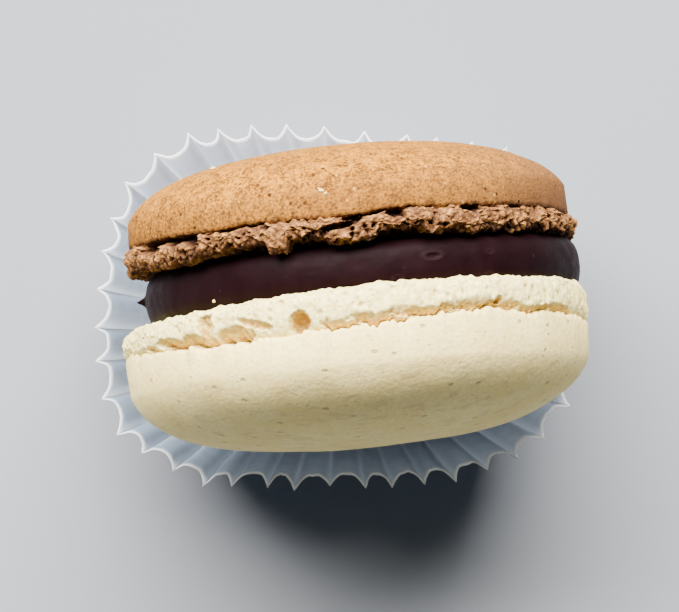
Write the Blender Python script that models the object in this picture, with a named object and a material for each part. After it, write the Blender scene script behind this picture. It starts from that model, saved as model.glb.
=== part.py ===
"""A two-coloured French macaron lying on its edge in a pleated paper case.

X runs along the faces of the shells, Y is the axis that the shells are stacked on, and Z is up.
The origin is on the table, under the middle of the case. Lengths are in metres.
"""

import math

import bmesh
import bpy
from mathutils import Vector, noise

MM = 0.001
GAP = 0.3 * MM  # clearance between pieces that touch

# Where the macaron lies in its case
AXIS_X = 2.1 * MM
AXIS_HEIGHT = 24.5 * MM
FILLING_Y = 1.25 * MM

# The filling is a disc of ganache, pressed thinner at the top than at the table
FILLING_RADIUS = 22.3 * MM
FILLING_THICKNESS = 5.2 * MM
FILLING_SHIFT_X = 1.1 * MM
FILLING_SHIFT_Z = -0.5 * MM
FILLING_SEGMENTS = 84

SHELL_SEGMENTS = 112
DOME_RINGS = 7
GROOVE_DEPTH = 0.8 * MM
FOOT_RELIEF = 0.8 * MM
RUFFLE_SIZE = 3.2 * MM
DOME_RELIEF = 0.22 * MM
DOME_LUMP = 9 * MM

# side is the way that the dome faces along Y. tilt leans the shell about X.
# hollows are holes in the ruffled foot: degrees from the top, length and depth along and into the foot.
BROWN_SHELL = {
    "name": "brown_shell",
    "side": 1,
    "radius": 22.9 * MM,
    "dome": 8.55 * MM,
    "foot": 2.8 * MM,
    "squareness": 2.35,
    "tilt": math.radians(1.0),
    "seed": 11.3,
    "hollows": (
        (-55, 5.0 * MM, 0.9 * MM),
        (-1, 5.5 * MM, 0.8 * MM),
        (13, 2.2 * MM, 1.0 * MM),
        (34, 2.4 * MM, 0.9 * MM),
    ),
    "colour": (0.52, 0.27, 0.13),
    "roughness": 0.8,
}
CREAM_SHELL = {
    "name": "cream_shell",
    "side": -1,
    "radius": 23.65 * MM,
    "dome": 10.7 * MM,
    "foot": 3.1 * MM,
    "squareness": 2.5,
    "tilt": math.radians(-1.4),
    "seed": 47.9,
    "hollows": (
        (-47, 8.0 * MM, 1.2 * MM),
        (-32, 3.4 * MM, 1.2 * MM),
        (-13.5, 2.2 * MM, 1.2 * MM),
        (57, 4.5 * MM, 0.8 * MM),
    ),
    "colour": (0.83, 0.76, 0.55),
    "roughness": 0.85,
}

# The case: a flat oval base and a fluted wall that opens out to a squarish oval rim
CASE_TURN = math.radians(-4.5)  # the macaron lies askew in its case
CASE_PAPER = 0.25 * MM
CASE_HEIGHT = 15.0 * MM
CASE_PLEATS = 42
CASE_BASE = (17.6 * MM, 13.0 * MM)  # half length and half width of the base
CASE_RIM = (26.05 * MM, 19.9 * MM)  # half length and half width over the tips of the pleats
CASE_SQUARENESS = 3.3
CASE_BULGE = 0.79  # under 1, the wall bows outwards between base and rim
PLEAT_DEPTH_BASE = 0.45 * MM
PLEAT_DEPTH_RIM = 1.4 * MM
PLEAT_SHARPNESS = 1.35
PLEAT_STEPS = (0.0, 0.13, 0.31, 0.5, 0.69, 0.87)  # share of a pleat, from its tip
WALL_STEPS = (0.0, 0.3, 0.65, 1.0)  # share of the wall's height
JITTER_SEED = 5.2

CHOCOLATE = (0.035, 0.014, 0.012)
CHOCOLATE_ROUGHNESS = 0.38
PAPER_WHITE = (0.86, 0.87, 0.88)
PAPER_ROUGHNESS = 0.6
SHARP_ANGLE = math.radians(40)


def clear_scene():
    for obj in list(bpy.data.objects):
        bpy.data.objects.remove(obj, do_unlink=True)


def make_material(name, colour, roughness):
    material = bpy.data.materials.new(name)
    material.use_nodes = True
    shader = material.node_tree.nodes["Principled BSDF"]
    shader.inputs["Base Color"].default_value = (*colour, 1.0)
    shader.inputs["Roughness"].default_value = roughness
    shader.inputs["Metallic"].default_value = 0.0
    return material


def make_object(name, bm, material, location=(0, 0, 0), rotation=(0, 0, 0)):
    bmesh.ops.recalc_face_normals(bm, faces=bm.faces)
    mesh = bpy.data.meshes.new(name)
    bm.to_mesh(mesh)
    bm.free()
    mesh.materials.append(material)
    mesh.shade_smooth()
    mesh.set_sharp_from_angle(angle=SHARP_ANGLE)
    obj = bpy.data.objects.new(name, mesh)
    obj.location = location
    obj.rotation_euler = rotation
    bpy.context.scene.collection.objects.link(obj)
    return obj


def spin_profile(profile, segments):
    """Turns (radius, y) points about the Y axis; the first and last points lie on the axis."""
    bm = bmesh.new()
    verts = [bm.verts.new((0.0, y, radius)) for radius, y in profile]
    edges = [bm.edges.new(pair) for pair in zip(verts, verts[1:])]
    bmesh.ops.spin(
        bm,
        geom=verts + edges,
        cent=(0, 0, 0),
        axis=(0, 1, 0),
        dvec=(0, 0, 0),
        angle=2 * math.pi,
        steps=segments,
        use_merge=True,
        use_duplicate=False,
    )
    bmesh.ops.remove_doubles(bm, verts=bm.verts, dist=0.001 * MM)
    return bm


def lumps(point, size, seed):
    """Smooth noise from -1 to 1, with lumps of about the given size."""
    return noise.noise(point / size + Vector((seed, -seed, 0.5 * seed)))


def shell_profile(shell):
    """(radius, distance from the inner face) from the inner face's middle to the dome's top."""
    radius, foot, dome = shell["radius"], shell["foot"], shell["dome"]
    points = [
        (0.0, 0.0),
        (radius - 2.2 * MM, 0.0),
        (radius - 0.7 * MM, 0.1 * foot),
        (radius - 0.1 * MM, 0.36 * foot),
        (radius + 0.1 * MM, 0.62 * foot),
        (radius - 0.15 * MM, 0.86 * foot),
        (radius - GROOVE_DEPTH, foot),
        (radius - 0.25 * MM, 1.12 * foot),
    ]
    skirt = 1.12 * foot
    for ring in range(1, DOME_RINGS + 1):
        angle = 0.5 * math.pi * (0.1 + 0.9 * ring / DOME_RINGS)
        out = math.cos(angle) ** (2 / shell["squareness"]) if ring < DOME_RINGS else 0.0
        up = math.sin(angle) ** (2 / shell["squareness"])
        points.append((out * radius, skirt + up * (dome - 0.12 * foot)))
    return points


def hollow_depth(shell, angle, height):
    """How far the named holes in the foot reach inwards at this place."""
    radius, foot = shell["radius"], shell["foot"]
    deepest = 0.0
    for degrees, length, depth in shell["hollows"]:
        along = abs(angle - math.radians(degrees)) * radius / (0.5 * length)
        across = abs(height - 0.9 * foot) / (0.36 * foot)
        inside = 1 - along**4 - across**2
        if inside > 0:
            deepest = max(deepest, depth * min(1.0, 2 * inside))
    return deepest


def foot_move(shell, place, height):
    """The ruffled foot's relief, outwards: mostly dents, so that it stays inside its radius."""
    coarse = lumps(place, RUFFLE_SIZE, shell["seed"])
    fine = lumps(place, 0.6 * RUFFLE_SIZE, shell["seed"] + 3)
    near_filling = height < 0.2 * shell["foot"]
    return FOOT_RELIEF * (0.4 if near_filling else 1.0) * (coarse + 0.6 * fine - 0.25)


def make_shell(shell):
    side, radius, foot, dome = shell["side"], shell["radius"], shell["foot"], shell["dome"]
    bm = spin_profile([(out, side * y) for out, y in shell_profile(shell)], SHELL_SEGMENTS)
    for vert in bm.verts:
        place = vert.co.copy()
        rim = Vector((place.x, 0, place.z))
        height = side * place.y
        if rim.length < radius - 2.0 * MM and height < 0.5 * foot:
            continue  # the inner face stays flat against the filling
        outwards = rim.normalized()
        if height < 1.05 * foot:
            angle = math.atan2(place.x, place.z)
            vert.co += outwards * (foot_move(shell, place, height) - hollow_depth(shell, angle, height))
            if height < 0.2 * foot:
                vert.co.y += side * 0.3 * foot * max(0.0, lumps(place, 3.5 * MM, shell["seed"] + 7))
        else:
            swell = DOME_RELIEF * lumps(place, DOME_LUMP, shell["seed"] + 20)
            vert.co += outwards * swell
            vert.co.y += side * swell * (height - foot) / dome
    y = FILLING_Y + side * (0.5 * FILLING_THICKNESS + GAP)
    material = make_material(shell["name"], shell["colour"], shell["roughness"])
    return make_object(shell["name"], bm, material, (AXIS_X, y, AXIS_HEIGHT), (shell["tilt"], 0, 0))


def make_filling():
    half, radius = 0.5 * FILLING_THICKNESS, FILLING_RADIUS
    side_profile = [(0.0, 1.0), (radius - 1.3 * MM, 1.0), (radius - 0.45 * MM, 0.82), (radius - 0.05 * MM, 0.4)]
    profile = [(r, -half * y) for r, y in side_profile]
    profile += [(r, half * y) for r, y in reversed(side_profile)]
    bm = spin_profile(profile, FILLING_SEGMENTS)
    for vert in bm.verts:
        rim = Vector((vert.co.x, 0, vert.co.z))
        share = vert.co.y / half
        if rim.length > radius - 2 * MM:
            wave = 0.22 * MM * lumps(rim, 6 * MM, 3.1) + 0.1 * MM * lumps(vert.co, 2.5 * MM, 8.4)
            vert.co += rim.normalized() * wave
        # Both faces follow the shells that lean on them.
        tilt = BROWN_SHELL["tilt"] if share > 0 else CREAM_SHELL["tilt"]
        vert.co.y += math.tan(abs(tilt)) * (vert.co.z + FILLING_SHIFT_Z) * -share
    place = (AXIS_X + FILLING_SHIFT_X, FILLING_Y, AXIS_HEIGHT + FILLING_SHIFT_Z)
    material = make_material("ganache", CHOCOLATE, CHOCOLATE_ROUGHNESS)
    return make_object("ganache_filling", bm, material, place)


def oval_point(angle, half_length, half_width):
    """A point of the squarish oval in the direction of an angle."""
    c, s = math.cos(angle), math.sin(angle)
    reach = (abs(c) / half_length) ** CASE_SQUARENESS + (abs(s) / half_width) ** CASE_SQUARENESS
    return Vector((c, s, 0)) * reach ** (-1 / CASE_SQUARENESS)


def even_angles(count):
    """Angles that share out the rim of the case into stretches of equal length."""
    fine = 2000
    points = [oval_point(2 * math.pi * i / fine, *CASE_RIM) for i in range(fine + 1)]
    lengths = [0.0]
    for a, b in zip(points, points[1:]):
        lengths.append(lengths[-1] + (b - a).length)
    angles, i = [], 0
    for k in range(count):
        while lengths[i + 1] < lengths[-1] * k / count:
            i += 1
        angles.append(2 * math.pi * i / fine)
    return angles


def pleat_inset(share):
    """0 at the sharp tip of a pleat and 1 in the rounded valley between two tips."""
    return 1 - (1 - math.sin(math.pi * share)) ** PLEAT_SHARPNESS


def case_loops():
    """The outer surface of the wall, one closed loop of points for each height, base first."""
    parts = len(PLEAT_STEPS)
    angles = even_angles(CASE_PLEATS * parts)
    loops = []
    for step in WALL_STEPS:
        bow = step**CASE_BULGE
        half = [base + (rim - base) * bow for base, rim in zip(CASE_BASE, CASE_RIM)]
        depth = PLEAT_DEPTH_BASE + (PLEAT_DEPTH_RIM - PLEAT_DEPTH_BASE) * step
        loop = []
        for i, angle in enumerate(angles):
            pleat, part = divmod(i, parts)
            unevenness = noise.noise(Vector((1.7 * pleat, JITTER_SEED, 0)))
            lean = 0.35 * unevenness * step / CASE_PLEATS
            point = oval_point(angle + lean * (part > 0), *half)
            inwards = -Vector((point.x / half[0] ** 2, point.y / half[1] ** 2, 0)).normalized()
            amount = depth * (1 + 0.25 * unevenness) * pleat_inset(PLEAT_STEPS[part])
            point += inwards * amount
            point.z = CASE_HEIGHT * step
            loop.append(point)
        loops.append(loop)
    return loops


def make_case():
    """The wall joins the loops from the base up; Solidify gives the paper its thickness inwards."""
    bm = bmesh.new()
    rings = []
    for loop in case_loops():
        verts = [bm.verts.new(point) for point in loop]
        rings.append([bm.edges.new(pair) for pair in zip(verts, verts[1:] + verts[:1])])
    for lower, upper in zip(rings, rings[1:]):
        bmesh.ops.bridge_loops(bm, edges=lower + upper)
    base = bmesh.ops.contextual_create(bm, geom=rings[0])["faces"]
    bmesh.ops.triangulate(bm, faces=base)
    material = make_material("case_paper", PAPER_WHITE, PAPER_ROUGHNESS)
    obj = make_object("paper_case", bm, material, rotation=(0, 0, CASE_TURN))
    solidify = obj.modifiers.new("Paper", "SOLIDIFY")
    solidify.thickness = CASE_PAPER
    solidify.offset = -1
    solidify.use_even_offset = True
    return obj


def main():
    clear_scene()
    make_filling()
    make_shell(BROWN_SHELL)
    make_shell(CREAM_SHELL)
    make_case()


main()
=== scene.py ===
import math

import bmesh
import bpy
from mathutils import Matrix, Vector, noise


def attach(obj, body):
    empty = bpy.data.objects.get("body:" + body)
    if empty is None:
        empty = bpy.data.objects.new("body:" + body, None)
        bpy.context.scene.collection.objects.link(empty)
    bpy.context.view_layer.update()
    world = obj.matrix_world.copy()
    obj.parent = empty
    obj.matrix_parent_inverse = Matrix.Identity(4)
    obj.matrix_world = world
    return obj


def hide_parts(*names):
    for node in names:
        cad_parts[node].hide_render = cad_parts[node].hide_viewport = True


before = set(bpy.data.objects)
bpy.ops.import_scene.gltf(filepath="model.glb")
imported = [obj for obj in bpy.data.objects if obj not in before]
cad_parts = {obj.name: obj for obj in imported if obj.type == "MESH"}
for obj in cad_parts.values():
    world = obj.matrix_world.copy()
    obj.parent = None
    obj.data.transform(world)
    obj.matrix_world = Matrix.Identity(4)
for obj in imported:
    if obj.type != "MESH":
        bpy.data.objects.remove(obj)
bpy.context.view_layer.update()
mm = 0.001
noise.seed_set(4)  # noise_vector starts from this seed, so every run bends the crumbs alike

# The macaron lies on its edge: X runs along the faces of the shells, Y from the cream shell to the brown one.
macaron = {"x": 2.1, "y": 1.25, "height": 24.5, "fillingThickness": 5.2, "gap": 0.3}


# Small helpers

def smoothStep(low, high, value):
    share = min(1.0, max(0.0, (value - low) / (high - low)))
    return share * share * (3 - 2 * share)


def between(points, value):
    # straight lines between (place, amount) pairs
    if value <= points[0][0]:
        return points[0][1]
    for (a, low), (b, high) in zip(points, points[1:]):
        if value <= b:
            return low + (high - low) * (value - a) / (b - a)
    return points[-1][1]


def softNoise(place, size, seed):
    # size in millimetres, result about -1 to 1
    return noise.noise(place / (size * mm) + Vector((seed, -0.7 * seed, 0.3 * seed)))


def crumbNoise(place, size, seed):
    # 0 in the cracks between crumbs and 1 on top of them, with a number from 0 to 1 for the crumb itself
    near, points = noise.voronoi(place / (size * mm) + Vector((seed, 0.4 * seed, -seed)))
    return min(1.0, 1.7 * (near[1] - near[0])) ** 0.6, noise.cell(points[0] * 5.7)


def holeNoise(place, size, seed, share):
    # 1 in the middle of small round holes; share says how many of the cells have one
    spot = place / (size * mm) + Vector((-seed, seed, 0.6 * seed))
    near, points = noise.voronoi(spot)
    if noise.cell(points[0] * 7.3) > share:
        return 0.0
    return smoothStep(0.38, 0.12, near[0])


def finishPiece(name, bm, material, nodes):
    mesh = bpy.data.meshes.new(name)
    bm.to_mesh(mesh)
    bm.free()
    mesh.shade_smooth()
    mesh.materials.append(material)
    piece = bpy.data.objects.new(name, mesh)
    bpy.context.scene.collection.objects.link(piece)
    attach(piece, "root")
    if nodes:
        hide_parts(*nodes)
    print(name, "has", len(mesh.polygons), "faces")
    return piece


def spinAboutY(profile, steps):
    # profile: (radius, y) in millimetres, first and last on the axis
    # a sixteenth is spun, then doubled four times, which is much quicker than one long spin
    bm = bmesh.new()
    verts = [bm.verts.new((0, y * mm, radius * mm)) for radius, y in profile]
    edges = [bm.edges.new(pair) for pair in zip(verts, verts[1:])]
    angle = 2 * math.pi / 16
    bmesh.ops.spin(bm, geom=verts + edges, cent=(0, 0, 0), axis=(0, 1, 0), dvec=(0, 0, 0),
                   angle=angle, steps=steps // 16, use_merge=False, use_duplicate=False)
    for doubling in range(4):
        twin = bmesh.ops.duplicate(bm, geom=bm.verts[:] + bm.edges[:] + bm.faces[:])["geom"]
        bmesh.ops.rotate(bm, cent=(0, 0, 0), matrix=Matrix.Rotation(angle * 2 ** doubling, 3, "Y"),
                         verts=[g for g in twin if isinstance(g, bmesh.types.BMVert)])
    bmesh.ops.remove_doubles(bm, verts=bm.verts, dist=0.002 * mm)
    bmesh.ops.recalc_face_normals(bm, faces=bm.faces)
    return bm


# Material helpers

def startMaterial(name):
    material = bpy.data.materials.new(name)
    material.use_nodes = True
    tree = material.node_tree
    return material, tree, tree.nodes["Principled BSDF"]


def noiseNode(tree, size, detail=4.0, roughness=0.55, stretch=(1, 1, 1)):
    # size of the pattern in millimetres
    coords = tree.nodes.new("ShaderNodeTexCoord")
    mapping = tree.nodes.new("ShaderNodeMapping")
    mapping.inputs["Scale"].default_value = stretch
    tree.links.new(coords.outputs["Object"], mapping.inputs["Vector"])
    node = tree.nodes.new("ShaderNodeTexNoise")
    node.inputs["Scale"].default_value = 1 / (size * mm)
    node.inputs["Detail"].default_value = detail
    node.inputs["Roughness"].default_value = roughness
    tree.links.new(mapping.outputs["Vector"], node.inputs["Vector"])
    return node.outputs["Fac"]


def coordinateNode(tree, axis):
    # where a point of the piece lies along "X", "Y" or "Z", in metres
    coords = tree.nodes.new("ShaderNodeTexCoord")
    split = tree.nodes.new("ShaderNodeSeparateXYZ")
    tree.links.new(coords.outputs["Object"], split.inputs["Vector"])
    return split.outputs[axis]


def speckNode(tree, size, radius, amount, seedShift=0.0, stretch=(1, 1, 1)):
    # 1 on scattered specks; radius as a share of size, amount as the share of places that have one,
    # and seedShift to give each kind of speck its own places
    coords = tree.nodes.new("ShaderNodeTexCoord")
    mapping = tree.nodes.new("ShaderNodeMapping")
    mapping.inputs["Location"].default_value = (seedShift, seedShift, seedShift)
    mapping.inputs["Scale"].default_value = stretch
    tree.links.new(coords.outputs["Object"], mapping.inputs["Vector"])
    cells = tree.nodes.new("ShaderNodeTexVoronoi")
    cells.inputs["Scale"].default_value = 1 / (size * mm)
    tree.links.new(mapping.outputs["Vector"], cells.inputs["Vector"])
    near = rangeNode(tree, cells.outputs["Distance"], 0.6 * radius, radius, 1, 0)
    split = tree.nodes.new("ShaderNodeSeparateColor")
    tree.links.new(cells.outputs["Color"], split.inputs["Color"])
    chosen = rangeNode(tree, split.outputs["Red"], amount, amount + 0.02, 1, 0)
    return mathNode(tree, "MULTIPLY", near, chosen)


def rangeNode(tree, value, low, high, start=0.0, end=1.0):
    # an eased step from start to end as the value goes from low to high
    node = tree.nodes.new("ShaderNodeMapRange")
    node.interpolation_type = "SMOOTHSTEP"
    for name, number in (("From Min", low), ("From Max", high), ("To Min", start), ("To Max", end)):
        node.inputs[name].default_value = number
    tree.links.new(value, node.inputs["Value"])
    return node.outputs["Result"]


def mathNode(tree, operation, first, second):
    node = tree.nodes.new("ShaderNodeMath")
    node.operation = operation
    for socket, value in zip(node.inputs, (first, second)):
        if isinstance(value, (int, float)):
            socket.default_value = value
        else:
            tree.links.new(value, socket)
    return node.outputs["Value"]


def mixNode(tree, factor, first, second):
    # factor is a number or a socket; first and second are colours or sockets
    node = tree.nodes.new("ShaderNodeMix")
    node.data_type = "RGBA"
    wanted = {"Factor_Float": factor, "A_Color": first, "B_Color": second}
    for socket in node.inputs:
        if socket.identifier in wanted:
            value = wanted[socket.identifier]
            if isinstance(value, tuple):
                socket.default_value = (*value, 1.0)
            elif isinstance(value, (int, float)):
                socket.default_value = value
            else:
                tree.links.new(value, socket)
    return [socket for socket in node.outputs if socket.identifier == "Result_Color"][0]


def scaleNode(tree, value, factor):
    return mathNode(tree, "MULTIPLY", value, factor)


def attributeNode(tree, name):
    # a number that the shape code left on each vertex
    node = tree.nodes.new("ShaderNodeAttribute")
    node.attribute_name = name
    return node.outputs["Fac"]


def bumpNode(tree, shader, height, distance, strength):
    # distance in millimetres
    node = tree.nodes.new("ShaderNodeBump")
    node.inputs["Distance"].default_value = distance * mm
    node.inputs["Strength"].default_value = strength
    tree.links.new(height, node.inputs["Height"])
    tree.links.new(node.outputs["Normal"], shader.inputs["Normal"])


# Camera, floor and lights

# almost straight above: lean tips the camera towards the cream side and roll turns the picture, both in degrees
# lookAt, distance and lens are in millimetres
viewpoint = {"lookAt": (0.46, -0.68, 24.5), "lean": 4.0, "roll": 5.2, "distance": 279.4, "lens": 142.8}


def makeCamera():
    lean, roll = math.radians(viewpoint["lean"]), math.radians(viewpoint["roll"])
    back = Vector((0, -math.sin(lean), math.cos(lean)))
    right = Vector((math.cos(roll), -math.sin(roll), 0))
    right = (right - back * right.dot(back)).normalized()
    up = back.cross(right)
    camera = bpy.data.cameras.new("camera")
    camera.lens = viewpoint["lens"]
    camera.sensor_width = 36
    camera.clip_start = 0.01
    holder = bpy.data.objects.new("camera", camera)
    turn = Matrix((right, up, back)).transposed().to_4x4()
    place = Vector(viewpoint["lookAt"]) * mm + back * viewpoint["distance"] * mm
    holder.matrix_world = Matrix.Translation(place) @ turn
    bpy.context.scene.collection.objects.link(holder)
    bpy.context.scene.camera = holder


studio = {
    "floorSize": 5,  # half its side, in metres
    "floorColour": (0.22, 0.235, 0.26),
    "floorRoughness": 0.85,
    "air": (0.84, 0.92, 1.0),
    "airStrength": 0.10,
    "lightsAim": (0, 0, 0.02),
    "lights": (
        # name, place and size in metres, power in watts, colour
        ("window", (-0.12, 1.04, 1.12), 2.3, 0.9, 264.0, (1.0, 0.965, 0.92)),
        ("bounce", (0.70, -1.00, 0.90), 1.2, 1.2, 0.5, (0.80, 0.90, 1.0)),
    ),
}


def makeStudio():
    bm = bmesh.new()
    bmesh.ops.create_grid(bm, x_segments=1, y_segments=1, size=studio["floorSize"])
    mesh = bpy.data.meshes.new("floor")
    bm.to_mesh(mesh)
    bm.free()
    material, tree, shader = startMaterial("floor")
    shader.inputs["Base Color"].default_value = (*studio["floorColour"], 1)
    shader.inputs["Roughness"].default_value = studio["floorRoughness"]
    mesh.materials.append(material)
    floor = bpy.data.objects.new("floor", mesh)
    bpy.context.scene.collection.objects.link(floor)

    world = bpy.data.worlds.new("studio")
    world.use_nodes = True
    air = world.node_tree.nodes["Background"]
    air.inputs["Color"].default_value = (*studio["air"], 1)
    air.inputs["Strength"].default_value = studio["airStrength"]
    bpy.context.scene.world = world
    for name, place, width, height, power, colour in studio["lights"]:
        lamp = bpy.data.lights.new(name, "AREA")
        lamp.energy = power
        lamp.color = colour
        lamp.shape = "RECTANGLE"
        lamp.size = width
        lamp.size_y = height
        holder = bpy.data.objects.new(name, lamp)
        holder.location = place
        away = Vector(place) - Vector(studio["lightsAim"])
        holder.rotation_euler = away.to_track_quat("Z", "Y").to_euler()
        bpy.context.scene.collection.objects.link(holder)


# The shells

# Lengths are in millimetres and angles in degrees. Places round a shell are angles from its top towards +X.
# side: the way that the dome faces along Y; lean: how far the shell tips about X; seed: shifts its own noise
# crag, crumb and fine: the three sizes of crumbs on the foot, and how far they stand out; hole: its small pores
# gapSlope: where across a gap it reaches its full depth, as a share of its width; lowShade: painted shade on the
# foot next to the filling
# flare: how far the whole foot stands out; groove and tuck: how far the groove and the dome's skirt stand in
# reach: how much wider the shell is there than an even round
# edgeTeeth and ragged: how uneven the dome's edge and the foot's lower edge are
# lowEdge: how far the foot stops short of the filling; topEdge: how far the dome's edge hangs over the foot
# hollows: place, height in the foot from 0 to 1, length, width, depth, slope
brownShell = {
    "name": "brown_almond_shell",
    "node": "brown_shell",
    "slot": "brown_shell",
    "side": 1,
    "radius": 22.9,
    "dome": 8.55,
    "foot": 2.8,
    "squareness": 2.35,
    "lean": 1.0,
    "seed": 11.3,
    "cragSize": 2.0,
    "cragDepth": 0.7,
    "crumbSize": 0.95,
    "crumbDepth": 0.50,
    "fineSize": 0.45,
    "fineDepth": 0.24,
    "holeSize": 0.85,
    "holeDepth": 0.75,
    "holeShare": 0.50,
    "gapSlope": -0.2,
    "lowShade": 0.45,
    "flare": 0.45,
    "groove": 0.5,
    "tuck": 0.1,
    "reach": ((-140, 0.0), (-95, 0.2), (-70, 0.1), (-45, 0.0), (60, 0.0), (85, 0.15), (120, 0.0)),
    "edgeTeeth": 0.2,
    "ragged": 0.55,
    "lowEdge": (
        (-70, 0.2), (-56, -0.1), (-47, 0.0), (-42, 0.4), (-31, 0.8), (-21.4, 0.9), (-20.9, 0.7), (-20.3, -0.2),
        (-15.9, -0.25), (-15.2, 0.9), (-9, 0.9), (-5, 0.3), (1, -0.1), (5, 0.2), (7.5, 0.9), (17, 1.1),
        (19, 0.5), (21.5, 0.4), (23, 0.5), (28, 0.45), (32, 0.4), (42, 0.5), (48, 0.1), (54, 0.6), (74, 0.1),
        (88, -0.3),
    ),
    "topEdge": (
        (-60, -0.1), (-37, -0.3), (-27, -0.1), (-11, -0.2), (2, -0.3), (9, 0.1), (30, 0.0), (60, -0.2), (82, -0.7),
    ),
    "hollows": (
        (-61, 0.82, 4.4, 2.0, 1.9, 0.05),
        (-50.5, 0.90, 4.2, 1.4, 1.7, 0.0),
        (-43.5, 0.82, 2.0, 1.8, 1.5, 0.0),
        (-43, 0.35, 0.7, 1.4, 0.8, 0.0),
        (-32, 0.97, 2.2, 0.5, 0.9, 0.0),
        (-25, 1.0, 2.4, 0.5, 0.9, 0.0),
        (-3, 0.58, 5.4, 0.8, 1.3, 0.30),
        (4, 0.95, 4.4, 0.4, 0.9, 0.05),
        (11.5, 0.86, 2.0, 0.9, 1.3, 0.0),
        (32, 0.90, 2.2, 0.7, 1.0, -0.1),
        (47, 0.95, 2.0, 0.5, 0.9, 0.0),
        (60, 0.55, 1.2, 0.9, 0.8, 0.0),
        (150, 0.85, 5.0, 0.9, 1.0, 0.0),
        (-120, 0.8, 4.0, 0.9, 1.0, 0.1),
        (95, 0.85, 3.0, 0.8, 1.0, 0.0),
    ),
}
creamShell = {
    "name": "cream_almond_shell",
    "node": "cream_shell",
    "slot": "cream_shell",
    "side": -1,
    "radius": 23.65,
    "dome": 10.7,
    "foot": 3.1,
    "squareness": 2.5,
    "lean": -1.4,
    "seed": 47.9,
    "cragSize": 2.6,
    "cragDepth": 0.45,
    "crumbSize": 1.0,
    "crumbDepth": 0.16,
    "fineSize": 0.42,
    "fineDepth": 0.10,
    "holeSize": 0.75,
    "holeDepth": 0.25,
    "holeShare": 0.42,
    "gapSlope": 0.45,
    "lowShade": 0.0,
    "flare": 0.02,
    "groove": 0.5,
    "tuck": 0.0,
    "reach": ((-150, 0.0), (-100, 0.65), (-78, 0.65), (-50, 0.1), (-20, 0.0), (60, 0.0), (85, 0.25), (120, 0.0)),
    "edgeTeeth": 0.5,
    "ragged": 0.26,
    "lowEdge": (
        (-70, 0.2), (-50, 0.0), (-40, -0.1), (-30, -0.25), (-18, -0.4), (0, -0.65), (30, -0.8), (64, -0.9),
        (80, -0.8), (110, -0.3), (180, 0.0),
    ),
    "topEdge": (
        (-75, -0.4), (-58, 0.1), (-36, 0.7), (-16, 0.4), (6, 0.1), (12, 0.0), (20, -0.6), (33, -0.7),
        (42, -0.3), (56, -0.3), (80, 0.0),
    ),
    "hollows": (
        (-60, 0.93, 2.4, 0.9, 1.0, 0.25),
        (-49, 0.90, 6.0, 1.2, 1.5, 0.16),
        (-42, 0.88, 4.6, 1.4, 1.7, 0.04),
        (-38.8, 0.52, 1.9, 2.0, 0.8, 0.0),
        (-31.0, 0.84, 4.0, 1.5, 1.7, -0.04),
        (-25, 0.62, 3.4, 0.7, 0.6, 0.25),
        (-13.8, 0.75, 2.0, 1.7, 1.9, 0.0),
        (-4.5, 0.9, 3.8, 0.8, 0.7, 0.1),
        (5, 0.84, 6.0, 1.1, 0.6, 0.08),
        (11, 0.72, 3.4, 1.0, 0.5, 0.05),
        (17.5, 0.84, 5.0, 1.2, 1.0, 0.08),
        (16.8, 1.0, 2.8, 0.7, 1.8, -0.1),
        (28, 0.70, 6.4, 1.3, 0.55, 0.0),
        (30, 0.93, 4.0, 0.6, 0.7, 0.0),
        (38, 0.78, 4.4, 1.5, 0.75, 0.0),
        (36, 0.62, 1.0, 0.8, 1.3, 0.0),
        (49, 0.88, 4.6, 1.0, 0.7, 0.0),
        (50, 0.98, 3.4, 0.6, 1.5, 0.0),
        (60, 0.86, 5.0, 1.3, 0.9, 0.1),
        (110, 0.85, 5.0, 1.0, 1.2, 0.0),
        (-140, 0.85, 6.0, 1.0, 1.2, 0.0),
        (-100, 0.85, 3.0, 1.0, 1.2, 0.0),
    ),
}
shellMesh = {
    "steps": 1024,
    "footRows": 50,
    "skirtRows": 6,
    "domeRows": 26,
    # the inner face stays flat up to innerLimit from the rim, and has close rings from ringStart outwards
    "innerLimit": 4.5,
    "ringStart": 4.2,
    "ringGap": 0.35,
    "rings": 8,
    "footRound": 1.5,
    "footBulge": 0.1,
    "skirt": 0.14,  # height of the dome's edge over the groove, as a share of the foot
    "grooveLip": 0.2,
    "tuckHeight": 2.2,
    "edgeBand": 0.28,  # how far up and down the uneven edge is felt, as a share of the foot
    "openFrom": 0.7,  # a hollow wider than this share of its length is an open bubble
}


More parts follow.
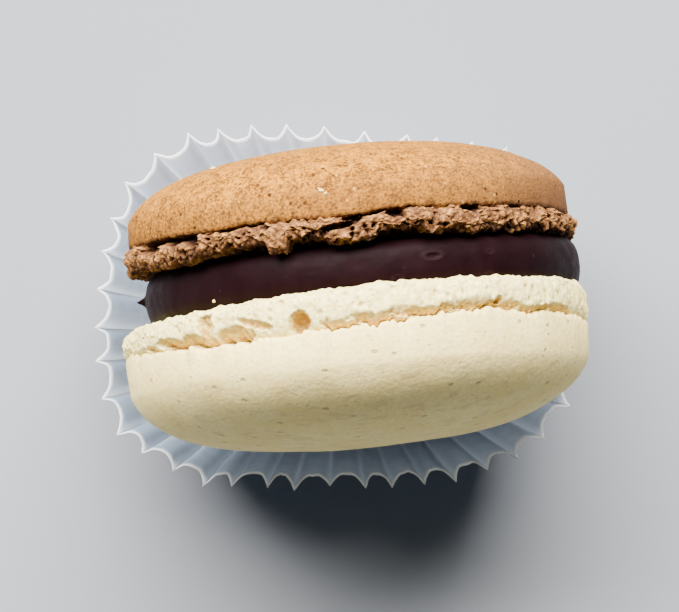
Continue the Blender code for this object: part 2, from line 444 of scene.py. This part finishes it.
def shellProfile(shell):
    # (radius, y) from the middle of the inner face, round the foot and over the dome
    radius, foot, groove, tuck = shell["radius"], shell["foot"], shell["groove"], shell["tuck"]
    points = [(0, 0), (0.4 * radius, 0), (0.75 * radius, 0)]
    points += [(radius - shellMesh["ringStart"] + shellMesh["ringGap"] * i, 0) for i in range(shellMesh["rings"])]
    rows = shellMesh["footRows"]
    for i in range(rows + 1):
        # round the foot from the inner face to the bottom of the groove
        angle = math.pi * (i / rows - 0.5)
        bulge = math.cos(angle) ** 0.55 if 0 < i < rows else 0
        out = radius - shellMesh["footRound"] + (shellMesh["footRound"] + shellMesh["footBulge"]) * bulge
        up = foot * 0.5 * (1 + math.copysign(abs(math.sin(angle)) ** 0.9, angle))
        if angle > 0:
            out = max(out, radius - groove - shellMesh["grooveLip"])
        points.append((out, up))
    skirt = shellMesh["skirt"] * foot
    rows = shellMesh["skirtRows"]
    for i in range(1, rows + 1):
        edge = groove - shellMesh["grooveLip"] - tuck
        points.append((radius - groove + edge * (i / rows) ** 0.5, foot + skirt * i / rows))
    rows = shellMesh["domeRows"]
    power = 2 / shell["squareness"]
    for i in range(1, rows + 1):
        angle = 0.5 * math.pi * (0.1 + 0.9 * i / rows)
        out = math.cos(angle) ** power * radius if i < rows else 0
        up = math.sin(angle) ** power * (shell["dome"] - skirt)
        points.append((out - tuck * (1 - smoothStep(0, shellMesh["tuckHeight"], up)), foot + skirt + up))
    return points


def hollowAt(shell, degrees, level, place):
    # how deep the named hollows in the foot are here, and how far inside one this place is
    deepest, inside = 0.0, 0.0
    ragged = 0.5 * softNoise(place, 0.8, shell["seed"] + 5) + 0.35 * softNoise(place, 0.35, shell["seed"] + 6)
    for angle, height, length, width, depth, slope in shell["hollows"]:
        along = (degrees - angle + 180) % 360 - 180
        along = math.radians(along) * shell["radius"]
        if abs(along) > length:
            continue
        across = (level - height) * shell["foot"] - slope * along
        far = (2 * along / length) ** 2 + (2 * across / width) ** 2
        if width > shellMesh["openFrom"] * length:
            far += 0.3 * ragged
            deep, shade = max(0.0, 1 - max(0.0, far) / 1.15) ** 0.5, 1.0
        else:
            # a gap that runs in under the edge of the dome
            far += ragged
            shade = smoothStep(-0.7 * width, shell["gapSlope"] * width, across)
            deep = smoothStep(1.4, 0.6, far) * shade
        deepest = max(deepest, deep * depth)
        inside = max(inside, smoothStep(1.25, 0.8, far) * (0.3 + 0.7 * shade))
    return deepest, inside


def domeSkin(shell, place, out, level, swell):
    # how far a point of the dome moves outwards and up the dome in millimetres, and its values for the material
    radius = shell["radius"] * mm
    # the edge of the dome is a thin broken skin
    edge = smoothStep(1.5, 1.02, level)
    push = swell - 0.10 * edge * max(0, softNoise(place, 0.8, shell["seed"] + 30))
    lift = 0.6 * swell * smoothStep(1, 3, level)
    # painted shade in the groove under the dome's edge
    underEdge = smoothStep(1.17, 1.04, level) * smoothStep(radius - 0.1 * mm, radius - 0.4 * mm, out)
    return push, lift, {"crust": 1.0, "cavityShade": 0.6 * underEdge}


def footCrumbs(shell, place, out, level, degrees, swell):
    # the same for a point of the foot
    radius, seed = shell["radius"] * mm, shell["seed"]
    crag = softNoise(place, shell["cragSize"], seed)
    bent = place + 0.1 * mm * noise.noise_vector(place / (0.5 * mm))
    crumb, crumbTone = crumbNoise(bent, shell["crumbSize"], seed + 3)
    fine, fineTone = crumbNoise(bent, shell["fineSize"], seed + 4)
    hole = holeNoise(place, shell["holeSize"], seed + 9, shell["holeShare"])
    depth, inside = hollowAt(shell, degrees, level, place)
    # calmer on the inner face, which lies on the ganache
    fade = 0.45 + 0.55 * smoothStep(0.0, 0.2, level) if out > radius - 1.6 * mm else 0.2
    push = shell["flare"] + swell - depth + fade * (
        shell["cragDepth"] * (0.5 * crag - 0.2)
        + shell["crumbDepth"] * (crumb * (0.7 + 0.6 * crumbTone) - 0.7)
        + shell["fineDepth"] * (fine * (0.6 + 0.8 * fineTone) - 0.6)
        - shell["holeDepth"] * hole
    )
    lift = 0.22 * fade * softNoise(place, 1.0, seed + 12) * shell["crumbDepth"] / 0.5
    # the ragged lower edge of the foot
    ragged = softNoise(place, 1.1, seed + 14) + 0.7 * softNoise(place, 0.45, seed + 15)
    nearRim = smoothStep(radius - shellMesh["innerLimit"] * mm, radius - 1.2 * mm, out)
    stops = between(shell["lowEdge"], degrees) + shell["ragged"] * ragged
    lift += stops * smoothStep(0.75, 0.0, level) * nearRim
    # painted shade: darker in the cracks between crumbs, in the small holes, inside the hollows and, by lowShade,
    # next to the filling
    pores = (0.75 - crumb) * 0.9 + (0.5 - fine) * 0.4 + hole - 0.25 * crag
    pores = max(0.0, pores) + shell["lowShade"] * smoothStep(0.35, 0.0, level)
    return push, lift, {
        "crust": 0.0,
        "hollow": inside,
        "tone": 0.5 * crumbTone + 0.5 * fineTone,
        "deep": smoothStep(0.9, 1.6, depth),
        "cavityShade": min(1.0, pores + 0.8 * inside),
    }


def makeShell(shell, material):
    side, radius, foot, seed = shell["side"], shell["radius"] * mm, shell["foot"] * mm, shell["seed"]
    bm = spinAboutY([(out, side * up) for out, up in shellProfile(shell)], shellMesh["steps"])
    layers = {name: bm.verts.layers.float.new(name) for name in ("cavityShade", "hollow", "deep", "crust", "tone")}
    upwards = Vector((0, side, 0))
    for vert in bm.verts:
        place = vert.co.copy()
        out = math.hypot(place.x, place.z)
        level = side * place.y / foot
        if out < radius - shellMesh["innerLimit"] * mm and level < 0.5:
            continue
        degrees = math.degrees(math.atan2(place.x, place.z))
        outwards = Vector((place.x, 0, place.z)).normalized()
        # the whole shell is a little uneven
        swell = 0.16 * softNoise(place, 9, seed + 20) + 0.05 * softNoise(place, 2.6, seed + 21)
        swell += between(shell["reach"], degrees) * smoothStep(0.2 * radius, 0.9 * radius, out)
        if level > 1.01:
            push, lift, values = domeSkin(shell, place, out, level, swell)
        else:
            push, lift, values = footCrumbs(shell, place, out, level, degrees, swell)
        for name, value in values.items():
            vert[layers[name]] = value
        # the dome's edge follows the foot unevenly
        near = math.exp(-((level - 1.0) / shellMesh["edgeBand"]) ** 2)
        teeth = shell["edgeTeeth"] * (0.7 * softNoise(outwards * radius, 1.3, seed + 40)
                                      + 0.8 * softNoise(outwards * radius, 0.4, seed + 41))
        lift += near * (between(shell["topEdge"], degrees) + teeth)
        vert.co += outwards * push * mm + upwards * lift * mm
    fromMiddle = side * (0.5 * macaron["fillingThickness"] + macaron["gap"])
    place = Vector((macaron["x"], macaron["y"] + fromMiddle, macaron["height"])) * mm
    turn = Matrix.Rotation(math.radians(shell["lean"]), 4, "X")
    bmesh.ops.transform(bm, matrix=Matrix.Translation(place) @ turn, verts=bm.verts)
    return finishPiece(shell["name"], bm, material, [shell["node"]])


def brownShellMaterial():
    material, tree, shader = startMaterial("baked brown almond shell")
    grain = rangeNode(tree, noiseNode(tree, 0.28, 2, 0.6), 0.37, 0.63)
    mottle = rangeNode(tree, noiseNode(tree, 1.1, 5, 0.7), 0.38, 0.62)
    patches = rangeNode(tree, noiseNode(tree, 6.0, 2), 0.38, 0.62)
    both = mathNode(tree, "ADD", scaleNode(tree, grain, 0.6), scaleNode(tree, mottle, 0.4))
    dome = mixNode(tree, both, (0.065, 0.0250, 0.0040), (0.53, 0.212, 0.014))
    dome = mixNode(tree, scaleNode(tree, patches, 0.25), dome, (0.18, 0.067, 0.010))
    # painted shade: darker towards the +X end, where the dome turns from the light, and also darker towards the
    # foot
    baked = mathNode(tree, "ADD", rangeNode(tree, coordinateNode(tree, "X"), 6 * mm, 26 * mm, 0, 0.75),
                     rangeNode(tree, coordinateNode(tree, "Y"), 6 * mm, 12 * mm, 0.38, 0))
    dome = mixNode(tree, baked, dome, (0.145, 0.063, 0.023))
    paleDots = speckNode(tree, 0.8, 0.24, 0.16, 0.77)
    dome = mixNode(tree, scaleNode(tree, paleDots, 0.6), dome, (0.60, 0.31, 0.08))
    darkSpecks = speckNode(tree, 1.1, 0.22, 0.24)
    dome = mixNode(tree, scaleNode(tree, darkSpecks, 0.85), dome, (0.030, 0.009, 0.003))
    fineSpecks = speckNode(tree, 0.6, 0.30, 0.34, 0.31)
    dome = mixNode(tree, scaleNode(tree, fineSpecks, 0.7), dome, (0.065, 0.023, 0.008))
    crumbs = rangeNode(tree, noiseNode(tree, 0.24, 3, 0.65), 0.40, 0.60)
    crumbs = mathNode(tree, "ADD", scaleNode(tree, crumbs, 0.5), scaleNode(tree, attributeNode(tree, "tone"), 0.5))
    foot = mixNode(tree, crumbs, (0.13, 0.053, 0.021), (0.61, 0.292, 0.088))
    colour = mixNode(tree, attributeNode(tree, "crust"), foot, dome)
    # painted shade: near-black in the cracks, holes and hollows of the foot and in the groove under the dome's
    # edge
    colour = mixNode(tree, attributeNode(tree, "cavityShade"), colour, (0.024, 0.010, 0.007))
    tree.links.new(colour, shader.inputs["Base Color"])
    shader.inputs["Roughness"].default_value = 0.8
    shader.inputs["Specular IOR Level"].default_value = 0.06
    height = mathNode(tree, "SUBTRACT", noiseNode(tree, 0.3, 3, 0.6), scaleNode(tree, darkSpecks, 0.5))
    bumpNode(tree, shader, height, 0.14, 0.9)
    return material


def creamShellMaterial():
    material, tree, shader = startMaterial("baked cream almond shell")
    patches = rangeNode(tree, noiseNode(tree, 5.0, 3), 0.38, 0.62)
    grain = rangeNode(tree, noiseNode(tree, 0.4, 3, 0.6), 0.38, 0.62)
    dome = mixNode(tree, patches, (0.91, 0.725, 0.26), (0.95, 0.795, 0.32))
    dome = mixNode(tree, scaleNode(tree, grain, 0.35), dome, (0.71, 0.53, 0.20))
    streaks = rangeNode(tree, noiseNode(tree, 1.0, 4, 0.6, (0.45, 1, 1)), 0.53, 0.64)
    dome = mixNode(tree, scaleNode(tree, streaks, 0.35), dome, (0.57, 0.41, 0.19))
    pits = speckNode(tree, 1.5, 0.17, 0.5, 0.0, (0.6, 1, 1))
    dome = mixNode(tree, scaleNode(tree, pits, 0.6), dome, (0.24, 0.19, 0.10))
    smallPits = speckNode(tree, 0.7, 0.22, 0.3, 0.45, (0.75, 1, 1))
    dome = mixNode(tree, scaleNode(tree, smallPits, 0.45), dome, (0.42, 0.33, 0.14))
    foot = mixNode(tree, grain, (0.87, 0.735, 0.25), (0.96, 0.88, 0.41))
    pores = speckNode(tree, 0.5, 0.34, 0.5, 0.2)
    foot = mixNode(tree, scaleNode(tree, pores, 0.75), foot, (0.40, 0.34, 0.15))
    # painted shade: golden and darker in the cracks, holes and hollows and under the dome's edge
    foot = mixNode(tree, scaleNode(tree, attributeNode(tree, "cavityShade"), 0.6), foot, (0.50, 0.33, 0.10))
    # painted light and shade: inside the hollows the foot is a darker warm amber, standing for light scattered in
    # the crumb and for shade
    hollowScatterShade = mixNode(tree, grain, (0.46, 0.265, 0.060), (0.80, 0.57, 0.17))
    foot = mixNode(tree, attributeNode(tree, "hollow"), foot, hollowScatterShade)
    # painted shade: darker still deep in the hollows
    foot = mixNode(tree, scaleNode(tree, attributeNode(tree, "deep"), 0.6), foot, (0.28, 0.15, 0.04))
    colour = mixNode(tree, attributeNode(tree, "crust"), foot, dome)
    tree.links.new(colour, shader.inputs["Base Color"])
    shader.inputs["Roughness"].default_value = 0.72
    shader.inputs["Specular IOR Level"].default_value = 0.15
    shader.inputs["Subsurface Weight"].default_value = 0.12
    shader.inputs["Subsurface Radius"].default_value = (1.0, 0.7, 0.35)
    shader.inputs["Subsurface Scale"].default_value = 0.8 * mm
    height = mathNode(tree, "SUBTRACT", noiseNode(tree, 0.5, 4, 0.6), scaleNode(tree, pits, 0.7))
    height = mathNode(tree, "SUBTRACT", height, scaleNode(tree, smallPits, 0.3))
    bumpNode(tree, shader, height, 0.09, 0.9)
    return material


# The ganache

ganache = {
    "radius": 22.3,
    "shiftX": 1.1,
    "shiftZ": -0.5,
    "overlap": 0.4,  # how far it goes into each shell
    "bulge": 1.75,
    "bulgePower": 2.4,
    "edge": 3.5,  # the faces are flat inside this distance from the rim
    "reach": ((-130, 0.0), (-95, 0.4), (-75, 0.3), (-50, 0.0)),
    "steps": 640,
    "rows": 36,
    # place, share across from -1 at the cream side to 1 at the brown side, length, width, depth
    "dents": (
        (17.5, 0.25, 1.7, 0.8, 0.12),
        (33.5, 0.30, 0.8, 0.4, 0.03),
        (33, -0.55, 0.8, 0.5, 0.03),
        (8, -0.5, 1.0, 0.5, 0.03),
        (120, 0.1, 3.0, 1.2, 0.15),
    ),
    # where the ganache was pulled out at the left end
    "peak": {"place": -89, "across": 0.1, "height": 1.15, "width": 0.34},
}


def ganacheSurface(place, across, degrees, outwards):
    # how far a point of the rim moves outwards in millimetres, and how scuffed it is
    half = 0.5 * macaron["fillingThickness"] + ganache["overlap"]
    radius, peak = ganache["radius"], ganache["peak"]
    push = 0.22 * softNoise(outwards * radius * mm, 7, 3.1) + 0.06 * softNoise(place, 1.8, 8.4)
    push += between(ganache["reach"], degrees) + 0.015 * softNoise(place, 0.5, 9.9)
    scuffed = 0.0
    for angle, share, length, width, depth in ganache["dents"]:
        along = math.radians(degrees - angle) * radius
        far = math.hypot(2 * along / length, 2 * (across - share) * half / width)
        if far < 2.2:
            # a hollow with a low wall round it
            push -= depth * (smoothStep(1.0, 0.4, far) - 0.45 * math.exp(-((far - 1.15) / 0.28) ** 2))
            scuffed = max(scuffed, 0.6 * math.exp(-((far - 1.15) / 0.3) ** 2))
    far = math.hypot(math.radians(degrees - peak["place"]) * radius, (across - peak["across"]) * half)
    push += peak["height"] * math.exp(-(far / peak["width"]) ** 1.3)
    return push, scuffed


def makeGanache(material):
    half = 0.5 * macaron["fillingThickness"] + ganache["overlap"]
    radius, rows = ganache["radius"], ganache["rows"]
    flat = radius - ganache["edge"]
    profile = [(0, -half), (0.5 * radius, -half), (flat, -half)]
    for i in range(rows + 1):
        across = -1 + 2 * i / rows
        hollow = ganache["bulge"] * (1 - math.sqrt(max(0, 1 - abs(across) ** ganache["bulgePower"])))
        profile.append((radius - hollow, half * across))
    profile += [(flat, half), (0.5 * radius, half), (0, half)]
    bm = spinAboutY(profile, ganache["steps"])
    scuff = bm.verts.layers.float.new("scuff")
    for vert in bm.verts:
        place = vert.co.copy()
        out = math.hypot(place.x, place.z)
        across = place.y / (half * mm)
        if out > (radius - 3) * mm:
            degrees = math.degrees(math.atan2(place.x, place.z))
            outwards = Vector((place.x, 0, place.z)).normalized()
            push, vert[scuff] = ganacheSurface(place, across, degrees, outwards)
            vert.co += outwards * push * mm
        # both faces lean with the shells
        lean = brownShell["lean"] if across > 0 else -creamShell["lean"]
        vert.co.y -= math.tan(math.radians(lean)) * (vert.co.z + ganache["shiftZ"] * mm) * across
    shift = Vector((macaron["x"] + ganache["shiftX"], macaron["y"], macaron["height"] + ganache["shiftZ"])) * mm
    bmesh.ops.translate(bm, vec=shift, verts=bm.verts)
    return finishPiece("chocolate_ganache", bm, material, ["ganache_filling"])


def ganacheMaterial():
    material, tree, shader = startMaterial("dark chocolate ganache")
    haze = rangeNode(tree, noiseNode(tree, 3.0, 5, 0.6), 0.35, 0.7)
    colour = mixNode(tree, haze, (0.0056, 0.0012, 0.0020), (0.0079, 0.0021, 0.0032))
    marks = rangeNode(tree, noiseNode(tree, 0.7, 5, 0.7), 0.64, 0.74)
    colour = mixNode(tree, scaleNode(tree, marks, 0.35), colour, (0.018, 0.007, 0.008))
    colour = mixNode(tree, scaleNode(tree, attributeNode(tree, "scuff"), 0.3), colour, (0.04, 0.02, 0.02))
    dust = speckNode(tree, 1.1, 0.10, 0.35)
    colour = mixNode(tree, scaleNode(tree, dust, 0.5), colour, (0.05, 0.035, 0.035))
    tree.links.new(colour, shader.inputs["Base Color"])
    rough = rangeNode(tree, noiseNode(tree, 1.6, 4, 0.6), 0.3, 0.7, 0.50, 0.62)
    tree.links.new(rough, shader.inputs["Roughness"])
    shader.inputs["IOR"].default_value = 1.115
    height = noiseNode(tree, 0.8, 5, 0.55)
    bumpNode(tree, shader, height, 0.03, 0.5)
    return material


# Loose crumbs on the shell and the ganache

looseCrumbs = {
    # place, length, width, height, turn about Z
    "crumbs": (
        ((-11.73, -0.2, 40.25), 0.32, 0.28, 0.26, 20),
        ((-0.25, 8.95, 46.95), 0.72, 0.36, 0.26, -25),
        ((0.12, 8.65, 46.98), 0.40, 0.30, 0.22, 30),
        ((-10.97, 13.68, 33.75), 0.55, 0.24, 0.26, 15),
    ),
}


def makeLooseCrumbs(material):
    bm = bmesh.new()
    for i, (place, length, width, height, turn) in enumerate(looseCrumbs["crumbs"]):
        ball = bmesh.ops.create_icosphere(bm, subdivisions=4, radius=0.5)["verts"]
        for vert in ball:
            spot = vert.co * 2.2 + Vector((7.0 * i, 0, 0))
            vert.co *= 1 + 0.45 * noise.noise(spot) + 0.2 * noise.noise(spot * 2.7)
        size = Matrix.Diagonal((length * mm, width * mm, height * mm, 1))
        turned = Matrix.Rotation(math.radians(turn), 4, "Z")
        bmesh.ops.transform(bm, matrix=Matrix.Translation(Vector(place) * mm) @ turned @ size, verts=ball)
    return finishPiece("loose_crumbs", bm, material, [])


def looseCrumbMaterial():
    material, tree, shader = startMaterial("pale crumb")
    colour = mixNode(tree, noiseNode(tree, 0.2, 3), (0.72, 0.52, 0.20), (0.88, 0.72, 0.36))
    tree.links.new(colour, shader.inputs["Base Color"])
    shader.inputs["Roughness"].default_value = 0.8
    shader.inputs["Specular IOR Level"].default_value = 0.2
    return material


# The pleated paper case

paperCase = {
    "turn": -4.5,
    "height": 15.0,
    # half the length and half the width of the oval at the bottom and at the top
    "base": (17.6, 13.0),
    "rim": (26.05, 19.9),
    "squareness": 3.3,
    "bow": 0.79,  # under 1 the wall bows outwards
    "paper": 0.14,
    "columns": 18,  # per pleat
    "rows": 20,
    "crowding": 0.10,  # how closely the columns stand at the sharp tips
    "baseRing": 1.2,
    "pleatAtBase": 0.45,
    "pleatAtRim": 1.4,
    "bluntAtBase": 0.30,
    "bluntAtRim": 0.04,
    "creaseDepth": 0.10,
    "rimWaver": 0.16,
    # angle of each rim tip round the case, and how far it stands out from the even oval
    "tips": (
        (42.1, -0.6), (49.6, -1.3), (58.3, -1.5), (66.6, -1.3), (79.9, -1.1), (92.9, -0.4), (104.3, -0.2),
        (114.2, 0.0), (122.8, -0.1), (129.6, 0.3), (139.0, -0.4), (148.7, -0.8), (157.8, -1.1), (166.0, -0.8),
        (175.1, -0.5), (184.5, -0.1), (192.4, -0.1), (201.1, -0.2), (210.0, 0.0), (216.7, -0.6), (224.9, -0.5),
        (233.2, 0.2), (239.5, -0.3), (248.9, -0.5), (256.8, -0.2), (267.6, -0.6), (278.9, -0.4), (286.7, -0.4),
        (295.9, -0.5), (303.8, -0.4), (312.2, -0.8), (319.3, -0.6), (326.8, -0.5), (336.1, 0.1), (343.4, 0.0),
        (350.8, -0.2), (358.1, 0.0), (365.4, -0.1), (372.8, 0.0), (380.1, -0.2), (387.4, -0.3), (394.8, -0.5),
    ),
}


def ovalPoint(angle, halfLength, halfWidth):
    c, s = math.cos(angle), math.sin(angle)
    power = paperCase["squareness"]
    reach = (abs(c) / halfLength) ** power + (abs(s) / halfWidth) ** power
    return Vector((c, s, 0)) * reach ** (-1 / power)


def blend(low, high, share):
    return low + (high - low) * share


def pleatPoint(pleat, share, step):
    # share goes from 0 at this pleat's tip to 1 at the next one, and step from 0 at the base to 1 at the rim
    tips, following = paperCase["tips"], (pleat + 1) % len(paperCase["tips"])
    start, end = math.radians(tips[pleat][0]), math.radians(tips[following][0])
    if following == 0:
        end += 2 * math.pi
    # each pleat has its own depth and lean, blended over to the next one's
    character = blend(*[noise.noise(Vector((1.7 * k, 5.2, 0))) for k in (pleat, following)], share)
    lean = 0.5 * blend(*[noise.noise(Vector((3.1 * k, 1.2, 4))) for k in (pleat, following)], share)
    angle = start + (end - start) * (share + 0.35 * lean * step * (1 - abs(2 * share - 1)))
    half = [blend(low, high, step ** paperCase["bow"]) for low, high in zip(paperCase["base"], paperCase["rim"])]
    point = ovalPoint(angle, *half)
    point += point.normalized() * step * blend(tips[pleat][1], tips[following][1], share)
    inwards = -Vector((point.x / half[0] ** 2, point.y / half[1] ** 2, 0)).normalized()
    # the fold itself, sharp at the tips and rounded between them
    depth = blend(paperCase["pleatAtBase"], paperCase["pleatAtRim"], step) * (1 + 0.35 * character)
    blunt = blend(paperCase["bluntAtBase"], paperCase["bluntAtRim"], step)
    wave = (math.hypot(math.sin(math.pi * share), blunt) - blunt) / (math.hypot(1, blunt) - blunt)
    point += inwards * depth * (1 - (1 - min(1.0, wave)) ** (1.5 + 0.5 * character))
    # soft creases between the folds
    crease = noise.noise(Vector((9 * (pleat + share), 0.8 * step, 3.3)))
    point += inwards * paperCase["creaseDepth"] * crease * math.sin(math.pi * share) * step
    # the cut rim is a little uneven
    waver = noise.noise(Vector((1.1 * point.x, 1.1 * point.y, 6.2)))
    point += inwards * paperCase["rimWaver"] * step ** 8 * waver
    point.z = paperCase["height"] * step + 0.25 * step ** 6 * noise.noise(Vector((2.2 * (pleat + share), 7, 1)))
    return point


def makeWall(bm):
    # a ring pulled up row by row, then folded
    columns = len(paperCase["tips"]) * paperCase["columns"]
    bmesh.ops.create_circle(bm, cap_ends=False, segments=columns, radius=1)
    ring = list(bm.edges)
    for row in range(paperCase["rows"]):
        grown = bmesh.ops.extrude_edge_only(bm, edges=ring)["geom"]
        bmesh.ops.translate(bm, vec=(0, 0, 1), verts=[g for g in grown if isinstance(g, bmesh.types.BMVert)])
        ring = [g for g in grown if isinstance(g, bmesh.types.BMEdge)]
        ring = [e for e in ring if abs(e.verts[0].co.z - e.verts[1].co.z) < 0.5]
    edge = bm.verts.layers.float.new("edge")
    fold = bm.verts.layers.float.new("fold")
    for vert in bm.verts:
        step = vert.co.z / paperCase["rows"]
        turn = math.atan2(vert.co.y, vert.co.x) / (2 * math.pi) % 1.0
        pleat, column = divmod(round(turn * columns) % columns, paperCase["columns"])
        share = column / paperCase["columns"]
        share -= paperCase["crowding"] * math.sin(2 * math.pi * share)
        vert.co = pleatPoint(pleat, share, step) * mm
        # where the painted highlight along the cut rim goes
        vert[edge] = smoothStep(0.955, 1.0, step)
        # where the painted highlight along each fold goes
        vert[fold] = max(0.0, 1 - 5 * min(share, 1 - share))


def bottomEdges(bm):
    return [e for e in bm.edges if e.is_boundary and e.verts[0].co.z < 0.1 * mm]


def makePaperCase(material):
    bm = bmesh.new()
    makeWall(bm)
    # the flat base: a ring in from the folds to an even oval, and the middle
    grown = bmesh.ops.extrude_edge_only(bm, edges=bottomEdges(bm))["geom"]
    inner = [half - paperCase["baseRing"] for half in paperCase["base"]]
    for vert in [g for g in grown if isinstance(g, bmesh.types.BMVert)]:
        vert.co = ovalPoint(math.atan2(vert.co.y, vert.co.x), *inner) * mm
    base = bmesh.ops.contextual_create(bm, geom=bottomEdges(bm))["faces"]
    bmesh.ops.triangulate(bm, faces=base)
    turn = Matrix.Rotation(math.radians(paperCase["turn"]), 3, "Z")
    bmesh.ops.rotate(bm, cent=(0, 0, 0), matrix=turn, verts=bm.verts)
    bmesh.ops.recalc_face_normals(bm, faces=bm.faces)
    piece = finishPiece("pleated_paper_case", bm, material, ["paper_case"])
    wall = piece.modifiers.new("paper", "SOLIDIFY")
    wall.thickness = paperCase["paper"] * mm
    wall.offset = -1
    return piece


def paperMaterial():
    material, tree, shader = startMaterial("white case paper")
    fibres = rangeNode(tree, noiseNode(tree, 1.4, 6, 0.65), 0.3, 0.7)
    # painted light and shade: the white paper is coloured a dark blue-grey, standing for blue light coming through
    # the thin paper and for shade
    colour = mixNode(tree, fibres, (0.18, 0.25, 0.37), (0.23, 0.30, 0.42))
    # painted highlight: lighter along each fold
    colour = mixNode(tree, scaleNode(tree, attributeNode(tree, "fold"), 0.9), colour, (0.50, 0.61, 0.78))
    # painted highlight on the cut rim
    colour = mixNode(tree, attributeNode(tree, "edge"), colour, (0.72, 0.80, 0.90))
    tree.links.new(colour, shader.inputs["Base Color"])
    shader.inputs["Roughness"].default_value = 0.5
    shader.inputs["Subsurface Weight"].default_value = 0.85
    shader.inputs["Subsurface Radius"].default_value = (1.5, 1.5, 1.5)
    shader.inputs["Subsurface Scale"].default_value = 1.0 * mm
    bumpNode(tree, shader, noiseNode(tree, 0.5, 4, 0.6), 0.02, 0.5)
    return material


makeCamera()
makeStudio()
print("camera and studio ready")
makeShell(brownShell, brownShellMaterial())
makeShell(creamShell, creamShellMaterial())
makeGanache(ganacheMaterial())
makeLooseCrumbs(looseCrumbMaterial())
makePaperCase(paperMaterial())
